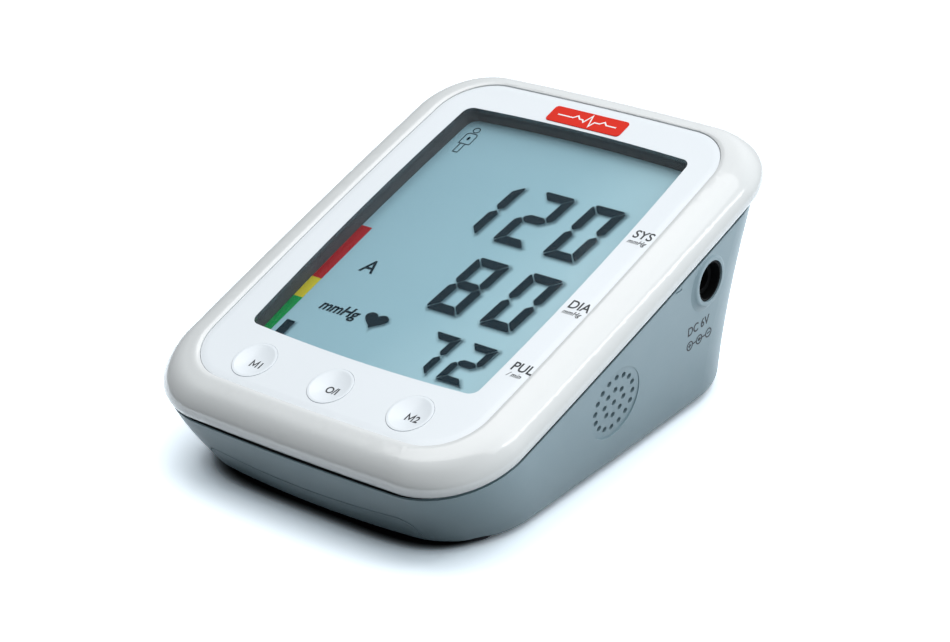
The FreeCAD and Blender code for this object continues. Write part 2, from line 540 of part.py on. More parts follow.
# ---------------------------------------------------------------- power jack and speaker
jx0, jx1 = 41.4, DC_C.x - 3.4
jack = box(jx0, jx1, DC_C.y - 4.5, DC_C.y + 4.5, DC_C.z - 5.5, DC_C.z + 4.6)
jack = jack.fuse(cyl(4.4, (jx1 - 0.5, DC_C.y, DC_C.z), (jx1 + 0.9, DC_C.y, DC_C.z)))
collar = cyl(DC_HOLE_R - 0.08, tuple(along(dc_f, dc_n, -4.5)), tuple(along(dc_f, dc_n, -0.45)))
collar = collar.cut(box(0, jx1 - 0.3, -90, 90, 0, 90)).cut(cyl(4.75, (jx1 + 0.4, DC_C.y, DC_C.z), (DC_C.x + 9, DC_C.y, DC_C.z)))
jack = jack.fuse(collar)
# guide bore for the plug's barrel, a slightly narrower contact bore behind it,
# and the centre pin, which starts below the guide bore
jxg = jx1 - 2.9
jack = jack.cut(cyl(3.1, (jxg, DC_C.y, DC_C.z), (jx1 + 4, DC_C.y, DC_C.z)))
jack = jack.cut(cyl(2.85, (jx0 + 1.2, DC_C.y, DC_C.z), (jxg + 0.5, DC_C.y, DC_C.z)))
jack = jack.fuse(cyl(1.0, (jx0 + 0.5, DC_C.y, DC_C.z), (jxg - 0.8, DC_C.y, DC_C.z)))
print("jack bore x %.3f..%.3f  pin x %.3f..%.3f  y %.2f z %.2f" % (jxg, jx1 + 0.9, jx0 + 1.2, jxg - 0.8, DC_C.y, DC_C.z))
print("air bore x %.3f..%.3f y %.2f z %.2f" % (ax + 0.3, -44.0, ay, az))
emit("dc_jack", one(jack))
sp_a, sp_b = along(GRILLE_C, gd, -6.5), along(GRILLE_C, gd, -3.55)
spk = cyl(10.2, sp_a, sp_b).fuse(cyl(7.0, along(GRILLE_C, gd, -9.0), along(GRILLE_C, gd, -6.0)))
emit("speaker", one(spk))

# ---------------------------------------------------------------- cells and contacts
def spring(length, r, wire_r, turns):
    """A coil along +Z from z 0: a run round the axis, eight corners a turn, each one a wide arc."""
    n = 8 * turns
    rc = r / math.cos(math.pi / 8)
    pts = [(rc * math.cos(2 * math.pi * i / 8), rc * math.sin(2 * math.pi * i / 8), length * i / n) for i in range(n + 1)]
    flat = 2 * rc * math.sin(math.pi / 8)
    return hose(pts, ri=0.0, ro=wire_r, bend=0.46 * flat / math.tan(math.pi / 8))


springs = []
plates = []
for i, x in enumerate(CELL_X):
    fwd = (i % 2 == 0)          # positive end at the rear on cells 1 and 3
    if fwd:
        tip, s = BAY_YR - 0.62, 1
    else:
        tip, s = BAY_YF + 0.62, -1
    nub = 1.0
    y0 = tip - s * nub
    y1 = tip - s * CELL_L
    body = cyl(CELL_R, (x, y0, CELL_Z), (x, y1, CELL_Z))
    body = body.makeFillet(0.6, [e for e in body.Edges if len(e.Vertexes) == 1])
    cell = body.fuse(cyl(2.6, (x, y0 - s * 0.3, CELL_Z), (x, tip, CELL_Z)))
    emit("cell_%d" % (i + 1), one(cell))
    for ye, sg in ((BAY_YF, 1), (BAY_YR, -1)):
        a, b = sorted((ye + sg * 0.02, ye + sg * 0.42))
        plates.append(box(x - 5.0, x + 5.0, a, b, 4.8, 16.2))
    # coil between the plate and the flat end of the cell
    ya = (BAY_YF + 0.44) if fwd else (BAY_YR - 0.44)
    yb = y1
    length = abs(yb - ya) - 0.9
    coil = spring(length, 3.2, 0.4, 3)
    sgn = 1 if yb > ya else -1
    coil.Placement = Placement(Vector(x, min(ya, yb) + 0.45, CELL_Z), Rotation(Vector(1, 0, 0), -90))
    springs.append(coil)
emit("battery_springs", Part.makeCompound(springs))
emit("battery_plates", Part.makeCompound(plates))

# ---------------------------------------------------------------- feet and case screws
feet = []
for x, y in FOOT_XY:
    f = cyl(FOOT_R, (x, y, 0.0), (x, y, FLOOR_Z + 0.58))
    f = f.makeFillet(0.5, [e for e in f.Edges if e.BoundBox.ZMax < 0.01])
    feet.append(f)
emit("rubber_feet", Part.makeCompound(feet))
cs = []
for (x, y), zt in zip(SCREW_XY, SCREW_ZT):
    s = cyl(2.2, (x, y, 4.0), (x, y, 5.99)).fuse(cyl(1.4, (x, y, 5.5), (x, y, zt + 8.5)))
    s = s.cut(box(x - 1.6, x + 1.6, y - 0.3, y + 0.3, 3.5, 4.9)).cut(box(x - 0.3, x + 0.3, y - 1.6, y + 1.6, 3.5, 4.9))
    cs.append(one(s))
emit("case_screws", Part.makeCompound(cs))

# ---------------------------------------------------------------- overlap report
names = list(NODES)
for i in range(len(names)):
    for j in range(i + 1, len(names)):
        a, b = NODES[names[i]], NODES[names[j]]
        if a.BoundBox.intersect(b.BoundBox):
            v = a.common(b).Volume
            if v > 0.005:
                print("OVERLAP %s / %s %.3f mm3" % (names[i], names[j], v))
print("nodes", len(NODES))
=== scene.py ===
import math

import bmesh
import bpy
from mathutils import Matrix, Vector
from mathutils.bvhtree import BVHTree
from mathutils.geometry import tessellate_polygon


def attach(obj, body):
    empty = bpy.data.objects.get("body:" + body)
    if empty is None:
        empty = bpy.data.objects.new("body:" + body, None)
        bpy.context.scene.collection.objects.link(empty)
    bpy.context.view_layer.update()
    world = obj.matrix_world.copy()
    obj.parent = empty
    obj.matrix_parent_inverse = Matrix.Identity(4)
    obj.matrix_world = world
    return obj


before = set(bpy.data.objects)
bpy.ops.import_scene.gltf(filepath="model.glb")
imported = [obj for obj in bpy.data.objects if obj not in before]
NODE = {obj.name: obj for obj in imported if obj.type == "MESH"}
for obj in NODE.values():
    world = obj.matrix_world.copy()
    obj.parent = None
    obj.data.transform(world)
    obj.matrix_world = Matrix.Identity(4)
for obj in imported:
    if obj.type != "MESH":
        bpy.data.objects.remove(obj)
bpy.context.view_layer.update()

MM = 0.001

# ------------------------------------------------------------------ the sloping panel's own axes
TILT = math.radians(16.0)
CT, ST = math.cos(TILT), math.sin(TILT)
PY, PZ = 4.39, 45.6


def on_panel(u, v, w=0.0):
    """u to the right, v up the slope, w out of the panel, all in mm from the display's centre."""
    return Vector((u, PY + v * CT - w * ST, PZ + v * ST + w * CT)) * MM


PANEL_N = Vector((0, -ST, CT))
LCD_W = -4.6


# ------------------------------------------------------------------ node materials
def srgb(r, g, b):
    def f(c):
        c /= 255.0
        return c / 12.92 if c <= 0.04045 else ((c + 0.055) / 1.055) ** 2.4
    return (f(r), f(g), f(b), 1.0)


class Mat:
    """A small helper round one procedural material."""

    def __init__(self, name):
        self.m = bpy.data.materials.new(name)
        self.m.use_nodes = True
        self.t = self.m.node_tree
        self.n = self.t.nodes
        self.b = self.n["Principled BSDF"]
        self.out = self.n["Material Output"]
        self.tc = self.n.new("ShaderNodeTexCoord")

    def link(self, a, b):
        self.t.links.new(a, b)

    def math(self, op, a, b=0.0, clamp=False):
        k = self.n.new("ShaderNodeMath")
        k.operation = op
        k.use_clamp = clamp
        for i, x in enumerate((a, b)):
            if isinstance(x, (int, float)):
                k.inputs[i].default_value = x
            else:
                self.link(x, k.inputs[i])
        return k.outputs[0]

    def noise(self, scale, detail=3.0, rough=0.55, coords=None):
        k = self.n.new("ShaderNodeTexNoise")
        k.inputs["Scale"].default_value = scale
        k.inputs["Detail"].default_value = detail
        k.inputs["Roughness"].default_value = rough
        self.link(coords or self.tc.outputs["Object"], k.inputs["Vector"])
        return k.outputs["Fac"]

    def ramp(self, fac, stops):
        k = self.n.new("ShaderNodeValToRGB")
        els = k.color_ramp.elements
        while len(els) < len(stops):
            els.new(0.5)
        for e, (p, c) in zip(els, stops):
            e.position = p
            e.color = c
        self.link(fac, k.inputs[0])
        return k.outputs[0]

    def remap(self, fac, lo, hi, a=0.3, b=0.7):
        k = self.n.new("ShaderNodeMapRange")
        k.inputs["From Min"].default_value = a
        k.inputs["From Max"].default_value = b
        k.inputs["To Min"].default_value = lo
        k.inputs["To Max"].default_value = hi
        self.link(fac, k.inputs["Value"])
        return k.outputs["Result"]

    def bump(self, height, strength, distance):
        k = self.n.new("ShaderNodeBump")
        k.inputs["Strength"].default_value = strength
        k.inputs["Distance"].default_value = distance
        self.link(height, k.inputs["Height"])
        self.link(k.outputs[0], self.b.inputs["Normal"])
        return k


def plastic(name, rgb, rough, vary=0.02, patch=60.0, grain=0.0, grain_scale=2600.0, grain_depth=0.00002,
            coat=0.0, coat_rough=0.06, spec=0.5, metal=0.0, rough_vary=0.03, sheen=0.0):
    """Moulded plastic, rubber or metal: cloudy colour and gloss, and a fine moulded grain."""
    k = Mat(name)
    r, g, b, _ = rgb
    cloud = k.noise(patch, 3.0)
    lo = (r * (1 - vary), g * (1 - vary), b * (1 - vary), 1)
    hi = (min(r * (1 + vary), 1), min(g * (1 + vary), 1), min(b * (1 + vary), 1), 1)
    k.link(k.ramp(cloud, [(0.3, lo), (0.7, hi)]), k.b.inputs["Base Color"])
    k.link(k.remap(k.noise(patch * 3.1, 2.0), rough - rough_vary, rough + rough_vary), k.b.inputs["Roughness"])
    k.b.inputs["Specular IOR Level"].default_value = spec
    k.b.inputs["Metallic"].default_value = metal
    k.b.inputs["Coat Weight"].default_value = coat
    k.b.inputs["Coat Roughness"].default_value = coat_rough
    if sheen:
        k.b.inputs["Sheen Weight"].default_value = sheen
    if grain:
        k.bump(k.noise(grain_scale, 2.0, 0.6), grain, grain_depth)
    return k


HOUSING = plastic("housing_blue_grey", (0.246, 0.342, 0.386, 1), 0.37, vary=0.025, patch=45, grain=0.35, grain_scale=3200,
                  grain_depth=0.00003, spec=0.5)
SHELL = plastic("shell_white", (0.68, 0.698, 0.70, 1), 0.18, vary=0.008, patch=35, grain=0.04, grain_scale=500,
                grain_depth=0.00001, coat=0.9, coat_rough=0.05, rough_vary=0.02)
PANEL = plastic("panel_white", (0.775, 0.815, 0.85, 1), 0.22, vary=0.008, patch=30, grain=0.03, grain_scale=600,
                grain_depth=0.00001, coat=0.2, coat_rough=0.05, rough_vary=0.02)


def masked(k, rgb, u_max, v_max, w_min, w_max, inset=None):
    """Another colour inside a box of the panel's own axes (metres), or this far inside the rounded outline of the tub."""
    def along(vec, shift):
        d = k.n.new("ShaderNodeVectorMath")
        d.operation = "DOT_PRODUCT"
        k.link(k.tc.outputs["Object"], d.inputs[0])
        d.inputs[1].default_value = vec
        return k.math("SUBTRACT", d.outputs["Value"], shift)
    u = k.math("ABSOLUTE", along((1, 0, 0), 0.0))
    v = k.math("ABSOLUTE", along((0, CT, ST), (PY * CT + PZ * ST) * MM))
    w = along((0, -ST, CT), (-PY * ST + PZ * CT) * MM)
    inside = k.math("MULTIPLY", k.math("LESS_THAN", u, u_max), k.math("LESS_THAN", v, v_max))
    inside = k.math("MULTIPLY", inside, k.math("LESS_THAN", w, w_max))
    inside = k.math("MULTIPLY", inside, k.math("GREATER_THAN", w, w_min))
    if inset is not None:
        us = u
        vs = k.math("ABSOLUTE", along((0, CT, ST), (PY * CT + PZ * ST - 7.47) * MM))
        bow_u = k.math("ADD", us, k.math("MULTIPLY", k.math("MULTIPLY", vs, vs), 0.2))
        bow_v = k.math("ADD", vs, k.math("MULTIPLY", k.math("MULTIPLY", us, us), 0.526))
        qu = k.math("MAXIMUM", k.math("SUBTRACT", bow_u, 0.0559 - 0.0226), 0.0)
        qv = k.math("MAXIMUM", k.math("SUBTRACT", bow_v, 0.06847 - 0.0226), 0.0)
        dist = k.math("SQRT", k.math("ADD", k.math("MULTIPLY", qu, qu), k.math("MULTIPLY", qv, qv)))
        inside = k.math("MULTIPLY", inside, k.math("LESS_THAN", dist, 0.0226 - inset))
    mix = k.n.new("ShaderNodeMix")
    mix.data_type = "RGBA"
    base = k.b.inputs["Base Color"].links[0].from_socket
    colours = [i for i in mix.inputs if i.type == "RGBA"]
    k.link(inside, mix.inputs[0])
    k.link(base, colours[0])
    colours[1].default_value = rgb
    k.link([o for o in mix.outputs if o.type == "RGBA"][0], k.b.inputs["Base Color"])


# the wall of the display opening is painted near-black: painted shade inside the recess
masked(PANEL, (0.075, 0.080, 0.086, 1), 0.040, 0.0485, -0.01, -0.00009)
# the joint under the white shell is painted near-black: painted shade in the parting gap, set in a little from the wall
masked(HOUSING, (0.006, 0.007, 0.008, 1), 0.2, 0.2, -0.00745, 0.01, inset=0.00028)
BUTTON = plastic("button_white", (0.78, 0.825, 0.865, 1), 0.20, vary=0.008, patch=90, grain=0.03, grain_scale=700,
                 grain_depth=0.00001, coat=0.2, coat_rough=0.06)
FRAME = plastic("frame_dark", (0.080, 0.086, 0.092, 1), 0.6, vary=0.1, patch=120, grain=0.3, grain_scale=3000,
                grain_depth=0.00002, spec=0.12)
BADGE = plastic("badge_red", (0.70, 0.022, 0.008, 1), 0.35, vary=0.05, patch=90, grain=0.03, spec=0.08)
WHITE_INK = plastic("ink_white", (0.86, 0.86, 0.85, 1), 0.4, vary=0.02, patch=300)
INK = plastic("ink_grey", (0.040, 0.043, 0.048, 1), 0.55, vary=0.15, patch=900, spec=0.3)
SEG = plastic("lcd_segment", (0.004, 0.018, 0.028, 1), 0.6, vary=0.12, patch=500, spec=0.05)
BAR_RED = plastic("bar_red", (0.34, 0.010, 0.016, 1), 0.6, vary=0.06, patch=400, spec=0.1)
BAR_YELLOW = plastic("bar_yellow", (0.52, 0.45, 0.03, 1), 0.6, vary=0.06, patch=400, spec=0.1)
BAR_GREEN = plastic("bar_green", (0.003, 0.25, 0.06, 1), 0.6, vary=0.06, patch=400, spec=0.1)
RUBBER = plastic("foot_rubber", (0.022, 0.024, 0.027, 1), 0.75, vary=0.2, patch=260, grain=0.4, grain_scale=1800,
                 grain_depth=0.00004, spec=0.3)
STEEL = plastic("screw_steel", (0.56, 0.56, 0.57, 1), 0.32, vary=0.06, patch=700, metal=1.0, rough_vary=0.08,
                grain=0.15, grain_scale=3000)
CAN = plastic("motor_can", (0.60, 0.61, 0.62, 1), 0.3, vary=0.05, patch=300, metal=1.0, rough_vary=0.06, grain=0.1)
BLACK = plastic("black_plastic", (0.02, 0.021, 0.022, 1), 0.5, vary=0.15, patch=300, grain=0.3, grain_scale=3000, spec=0.35)
JACK = plastic("jack_black", (0.004, 0.0044, 0.0048, 1), 0.6, vary=0.15, patch=300, grain=0.3, grain_scale=3000, spec=0.1)
PUMP = plastic("pump_plastic", (0.05, 0.052, 0.056, 1), 0.55, vary=0.12, patch=160, grain=0.3, grain_scale=2400)
VALVE = plastic("valve_body", (0.42, 0.43, 0.42, 1), 0.45, vary=0.06, patch=220, grain=0.2)
SOCKET = plastic("socket_plastic", (0.055, 0.066, 0.074, 1), 0.45, vary=0.1, patch=300, grain=0.3, grain_scale=3000)
CONTACT = plastic("contact_steel", (0.62, 0.61, 0.58, 1), 0.28, vary=0.06, patch=500, metal=1.0, rough_vary=0.07)
ZEBRA = plastic("contact_rubber", (0.30, 0.30, 0.31, 1), 0.7, vary=0.2, patch=1500)
SPEAKER = plastic("speaker_metal", (0.02, 0.021, 0.022, 1), 0.55, vary=0.2, patch=400, spec=0.3)


def board_material():
    """Green solder mask with darker tracks."""
    k = Mat("board_green")
    v = k.n.new("ShaderNodeTexVoronoi")
    v.feature = "DISTANCE_TO_EDGE"
    v.inputs["Scale"].default_value = 260.0
    k.link(k.tc.outputs["Object"], v.inputs["Vector"])
    line = k.math("LESS_THAN", v.outputs[0], 0.06)
    k.link(k.ramp(line, [(0.0, (0.012, 0.13, 0.05, 1)), (1.0, (0.03, 0.24, 0.10, 1))]), k.b.inputs["Base Color"])
    k.link(k.remap(k.noise(300), 0.28, 0.4), k.b.inputs["Roughness"])
    k.bump(line, 0.3, 0.00004)
    return k.m


def cell_material():
    """A plain battery jacket: a dark sleeve with a copper-coloured end band."""
    k = Mat("cell_jacket")
    sep = k.n.new("ShaderNodeSeparateXYZ")
    k.link(k.tc.outputs["Generated"], sep.inputs[0])
    k.link(k.ramp(sep.outputs[1], [(0.0, (0.50, 0.50, 0.49, 1)), (0.02, (0.50, 0.50, 0.49, 1)), (0.03, (0.045, 0.05, 0.06, 1)),
                                   (0.70, (0.05, 0.055, 0.065, 1)), (0.705, (0.42, 0.24, 0.11, 1)), (0.965, (0.45, 0.26, 0.12, 1)),
                                   (0.975, (0.5, 0.5, 0.49, 1))]), k.b.inputs["Base Color"])
    k.link(k.remap(k.noise(240), 0.28, 0.38), k.b.inputs["Roughness"])
    k.b.inputs["Metallic"].default_value = 0.6
    k.bump(k.noise(900), 0.06, 0.00003)
    return k.m


def tube_material():
    k = plastic("tube_silicone", (0.60, 0.62, 0.61, 1), 0.4, vary=0.06, patch=200, grain=0.1, grain_scale=1200)
    k.b.inputs["Subsurface Weight"].default_value = 0.3
    k.b.inputs["Subsurface Scale"].default_value = 0.002
    return k.m


def lens_material():
    """A clear window: light passes straight through, with a weak reflection on top."""
    k = Mat("lens_clear")
    k.n.remove(k.b)
    gloss = k.n.new("ShaderNodeBsdfAnisotropic")
    gloss.inputs["Color"].default_value = (1, 1, 1, 1)
    k.link(k.remap(k.noise(40), 0.03, 0.07), gloss.inputs["Roughness"])
    clear = k.n.new("ShaderNodeBsdfTransparent")
    k.link(k.ramp(k.noise(25), [(0.3, (0.975, 0.985, 0.99, 1)), (0.7, (0.985, 0.992, 0.995, 1))]), clear.inputs[0])
    edge = k.n.new("ShaderNodeLayerWeight")
    edge.inputs["Blend"].default_value = 0.5
    shine = k.math("ADD", k.math("MULTIPLY", k.math("POWER", edge.outputs["Facing"], 5.0), 0.4), 0.004)
    mix = k.n.new("ShaderNodeMixShader")
    k.link(shine, mix.inputs[0])
    k.link(clear.outputs[0], mix.inputs[1])
    k.link(gloss.outputs[0], mix.inputs[2])
    k.link(mix.outputs[0], k.out.inputs["Surface"])
    return k.m


def lcd_material():
    """The display's pale blue reflector: brighter to the right and towards the user, with a very fine texture."""
    k = Mat("display")
    u = k.n.new("ShaderNodeVectorMath")
    u.operation = "DOT_PRODUCT"
    k.link(k.tc.outputs["Object"], u.inputs[0])
    u.inputs[1].default_value = (9.0, -1.2, 0.0)
    cloud = k.math("MULTIPLY", k.noise(28, 1.0), 0.05)
    f = k.math("ADD", k.math("ADD", u.outputs["Value"], 0.47), cloud)
    k.link(k.ramp(f, [(0.0, (0.245, 0.410, 0.478, 1)), (0.5, (0.298, 0.485, 0.553, 1)), (1.0, (0.470, 0.680, 0.740, 1))]),
           k.b.inputs["Base Color"])
    k.link(k.remap(k.noise(4000, 1.0), 0.55, 0.7), k.b.inputs["Roughness"])
    k.b.inputs["Specular IOR Level"].default_value = 0.25
    return k.m


def shade_material():
    """The soft shadow that display segments throw on the reflector just below them."""
    k = Mat("lcd_shadow")
    at = k.n.new("ShaderNodeAttribute")
    at.attribute_name = "fade"
    k.b.inputs["Base Color"].default_value = (0.06, 0.12, 0.15, 1)
    k.b.inputs["Roughness"].default_value = 0.8
    k.b.inputs["Specular IOR Level"].default_value = 0.1
    clear = k.n.new("ShaderNodeBsdfTransparent")
    mix = k.n.new("ShaderNodeMixShader")
    sq = k.math("POWER", at.outputs["Fac"], 1.5)
    k.link(k.math("MULTIPLY", sq, 0.62), mix.inputs[0])
    k.link(clear.outputs[0], mix.inputs[1])
    k.link(k.b.outputs[0], mix.inputs[2])
    k.link(mix.outputs[0], k.out.inputs["Surface"])
    return k.m


LENS, LCD, SHADE = lens_material(), lcd_material(), shade_material()
BOARD, CELL, TUBE = board_material(), cell_material(), tube_material()


def m(x):
    return x.m if isinstance(x, Mat) else x


LOOK = {
    "lower_housing": HOUSING, "battery_cover": HOUSING, "top_shell": SHELL, "front_panel": PANEL, "display_window": LENS,
    "badge": BADGE, "lcd_frame": FRAME, "lcd_glass": LCD, "lcd_connector": ZEBRA, "button_m1": BUTTON,
    "button_power": BUTTON, "button_m2": BUTTON, "button_switches": BLACK, "main_board": BOARD, "board_parts": BLACK,
    "board_screws": STEEL, "pressure_sensor": BLACK, "pump_motor": CAN, "pump_head": PUMP, "release_valve": VALVE,
    "air_socket": SOCKET, "air_manifold": PUMP, "air_tubes": TUBE, "dc_jack": JACK, "speaker": SPEAKER,
    "cell_1": CELL, "cell_2": CELL, "cell_3": CELL, "cell_4": CELL, "battery_springs": CONTACT,
    "battery_plates": CONTACT, "rubber_feet": RUBBER, "case_screws": STEEL,
}
for name, look in LOOK.items():
    o = NODE[name]
    o.data.materials.clear()
    o.data.materials.append(m(look))


# ------------------------------------------------------------------ helpers for printed and cut shapes
def new_mesh(name, verts, faces, look, body="case", smooth=False):
    me = bpy.data.meshes.new(name)
    me.from_pydata([tuple(v) for v in verts], [], faces)
    me.materials.append(m(look))
    if smooth:
        for p in me.polygons:
            p.use_smooth = True
    me.update()
    o = bpy.data.objects.new(name, me)
    bpy.context.scene.collection.objects.link(o)
    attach(o, body)
    return o


def slab(name, loops, where, look, body="case", top=0.04, low=0.0):
    """Closed thin plates. loops is a list of [outer, hole, ...] with 2D points in mm; where(a, b, h) gives a point in metres."""
    verts, faces = [], []
    for rings in loops:
        rings = [list(r) for r in rings]
        for i, r in enumerate(rings):
            area = sum(r[k][0] * r[(k + 1) % len(r)][1] - r[(k + 1) % len(r)][0] * r[k][1] for k in range(len(r)))
            if (area > 0) != (i == 0):
                r.reverse()
        base = len(verts)
        flat = [p for r in rings for p in r]
        n = len(flat)
        verts += [where(p[0], p[1], top) for p in flat] + [where(p[0], p[1], low) for p in flat]
        tris = tessellate_polygon([[Vector((p[0], p[1], 0)) for p in r] for r in rings])
        for t in tris:
            a, b, c = (flat[i] for i in t)
            cross = (b[0] - a[0]) * (c[1] - a[1]) - (b[1] - a[1]) * (c[0] - a[0])
            t = tuple(t) if cross > 0 else tuple(reversed(t))
            faces.append(tuple(base + i for i in t))
            faces.append(tuple(base + n + i for i in reversed(t)))
        k = 0
        for r in rings:
            for i in range(len(r)):
                a, b = base + k + i, base + k + (i + 1) % len(r)
                faces.append((a, a + n, b + n, b))
            k += len(r)
    return new_mesh(name, verts, faces, look, body)


def disc(cx, cy, r, n=40):
    return [(cx + r * math.cos(2 * math.pi * i / n), cy + r * math.sin(2 * math.pi * i / n)) for i in range(n)]


def stroke(points, width, closed=False):
    """The outline of a line of the given width with mitred corners."""
    pts = [Vector((p[0], p[1])) for p in points]
    n = len(pts)
    left, right = [], []
    for i, p in enumerate(pts):
        a = pts[i - 1] if (closed or i > 0) else None
        b = pts[(i + 1) % n] if (closed or i < n - 1) else None
        d1 = (p - a).normalized() if a is not None else (b - p).normalized()
        d2 = (b - p).normalized() if b is not None else d1
        n1, n2 = Vector((-d1.y, d1.x)), Vector((-d2.y, d2.x))
        mid = (n1 + n2)
        mid = mid.normalized() if mid.length > 1e-6 else n1
        k = width / 2 / max(mid.dot(n1), 0.4)
        left.append((p.x + mid.x * k, p.y + mid.y * k))
        right.append((p.x - mid.x * k, p.y - mid.y * k))
    if closed:
        return [left, right]
    return [left + right[::-1]]


def lettering(name, text, size, where, look, body="case", align="LEFT", shear=0.0, spacing=1.0, squeeze=1.0, weight=0.0):
    """Raised ink from Blender's own plain font, laid on a surface by where(a, b, h) in mm."""
    cu = bpy.data.curves.new(name + "_c", "FONT")
    cu.body = text
    cu.size = size
    cu.align_x = align
    cu.shear = shear
    cu.space_character = spacing
    cu.offset = weight
    cu.extrude = 0.02
    cu.resolution_u = 6
    ob = bpy.data.objects.new(name + "_c", cu)
    bpy.context.scene.collection.objects.link(ob)
    dg = bpy.context.evaluated_depsgraph_get()
    me = bpy.data.meshes.new_from_object(ob.evaluated_get(dg))
    bpy.data.objects.remove(ob)
    bpy.data.curves.remove(cu)
    for v in me.vertices:
        v.co = where(v.co.x * squeeze, v.co.y, v.co.z + 0.02)
    me.materials.clear()
    me.materials.append(m(look))
    me.name = name
    me.update()
    o = bpy.data.objects.new(name, me)
    bpy.context.scene.collection.objects.link(o)
    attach(o, body)
    return o


def bvh(node):
    me = NODE[node].data
    return BVHTree.FromPolygons([v.co.copy() for v in me.vertices], [tuple(p.vertices) for p in me.polygons])


def dropped(tree, u0, v0, lift=0.01, start=4.0):
    """where() for something printed at (u0, v0) on a panel-side surface, found by looking straight down at it."""
    def where(a, b, h):
        hit, nrm, _, _ = tree.ray_cast(on_panel(u0 + a, v0 + b, start), -PANEL_N)
        if hit is None:
            return on_panel(u0 + a, v0 + b, h + lift)
        return hit + PANEL_N * ((h + lift) * MM)
    return where


def lcd_at(h0):
    return lambda a, b, h: on_panel(a, b, LCD_W + h0 + h)


# ------------------------------------------------------------------ display segments
def digit_polys(x0, y0, width, height, t, gap, slant, on):
    """Seven-segment shapes with mitred corners, clipped outer corners and pointed middle ends."""
    W, H, g, c, mid = width, height, gap / 2, (0.30 if t > 2.5 else 0.16) * t, height / 2
    q = g * 0.7
    s = {
        "a": [(c + q, H), (W - c - q, H), (W - c * 0.4 - q * 1.6, H - c * 0.5), (W - t - q, H - t), (t + q, H - t), (0 + c * 0.45 + q * 1.5, H - c * 0.5)],
        "d": [(c + q, 0), (W - c - q, 0), (W - c * 0.4 - q * 1.6, c * 0.5), (W - t - q, t), (t + q, t), (0 + c * 0.45 + q * 1.5, c * 0.5)],
        "f": [(0, H - c - q), (c * 0.45, H - c * 0.5 - q * 1.5), (t, H - t - q), (t, mid + g + 0.46 * t), (0.52 * t, mid + g), (0.40 * t, mid + g), (0, mid + g + 0.40 * t)],
        "e": [(0, c + q), (c * 0.45, c * 0.5 + q * 1.5), (t, t + q), (t, mid - g - 0.46 * t), (0.52 * t, mid - g), (0.40 * t, mid - g), (0, mid - g - 0.40 * t)],
        "b": [(W, H - c - q), (W - c * 0.45, H - c * 0.5 - q * 1.5), (W - t, H - t - q), (W - t, mid + g + 0.46 * t), (W - 0.52 * t, mid + g), (W - 0.40 * t, mid + g), (W, mid + g + 0.40 * t)],
        "c": [(W, c + q), (W - c * 0.45, c * 0.5 + q * 1.5), (W - t, t + q), (W - t, mid - g - 0.46 * t), (W - 0.52 * t, mid - g), (W - 0.40 * t, mid - g), (W, mid - g - 0.40 * t)],
        "g": [(0.70 * t, mid + 0.16 * t), (1.15 * t, mid + t / 2), (W - 1.15 * t, mid + t / 2), (W - 0.70 * t, mid + 0.16 * t),
              (W - 0.70 * t, mid - 0.16 * t), (W - 1.15 * t, mid - t / 2), (1.15 * t, mid - t / 2), (0.70 * t, mid - 0.16 * t)],
    }
    out = []
    for k in on:
        out.append([(x0 + x + slant * y, y0 + y) for x, y in s[k]])
    return out


DIGITS = {"0": "abcdef", "1": "bc", "2": "abged", "7": "abc", "8": "abcdefg"}
SL = 0.095
segs = []
for ch, x in (("1", -15.75), ("2", 0.50), ("0", 16.75)):
    segs += digit_polys(x - 0.35, 6.2, 10.55, 21.1, 2.75, 0.62, SL, DIGITS[ch])
for ch, x in (("8", 0.0), ("0", 17.25)):
    segs += digit_polys(x - 0.35, -21.05, 10.4, 20.8, 2.75, 0.62, SL, DIGITS[ch])
for ch, x in (("7", 7.75), ("2", 19.5)):
    segs += digit_polys(x - 0.25, -41.25, 8.2, 14.1, 2.1, 0.5, SL, DIGITS[ch])
slab("lcd_digits", [[s] for s in segs], lcd_at(0.06), SEG, top=0.05)

heart = []
for i in range(48):
    a = 2 * math.pi * i / 48
    x = 16 * math.sin(a) ** 3
    y = 13 * math.cos(a) - 5 * math.cos(2 * a) - 2 * math.cos(3 * a) - math.cos(4 * a)
    heart.append((-9.62 + x * 0.228, -29.75 + y * 0.186))
block = [(-32.9, -46.0), (-30.1, -46.0), (-30.1, -38.0), (-32.9, -38.0)]
slab("lcd_heart", [[heart]], lcd_at(0.06), SEG, top=0.05)
slab("lcd_block", [[block]], lcd_at(0.06), SEG, top=0.05)
for nm, look, v0, v1 in (("lcd_bar_red", BAR_RED, -22.25, -1.0), ("lcd_bar_yellow", BAR_YELLOW, -29.95, -22.25),
                         ("lcd_bar_green", BAR_GREEN, -46.5, -29.95)):
    slab(nm, [[[(-38.4, v0), (-34.65, v0), (-34.65, v1), (-38.4, v1)]]], lcd_at(0.02), look, top=0.05)

# a plain standing figure, drawn as an outline: head, rounded shoulders, legs and a filled oval on the chest
torso = [(-34.6, 36.4), (-34.6, 40.0), (-34.35, 40.55), (-33.8, 40.8), (-31.8, 40.8), (-31.25, 40.55), (-31.0, 40.0), (-31.0, 36.4)]
man = [
    stroke(disc(-32.75, 42.3, 1.0, 28), 0.26, True),
    stroke(torso, 0.26, True),
    stroke([(-33.85, 36.4), (-33.85, 32.8), (-32.25, 32.8), (-32.25, 36.4)], 0.26),
    [[(-32.85 + 0.42 * math.cos(2 * math.pi * i / 24), 38.7 + 0.75 * math.sin(2 * math.pi * i / 24)) for i in range(24)]],
]
slab("lcd_figure", man, lcd_at(0.06), SEG, top=0.03)
lettering("lcd_memory", "A", 6.6, lambda a, b, h: on_panel(-27.0 + a, -15.9 + b, LCD_W + 0.06 + h), SEG, shear=0.1, weight=0.06)
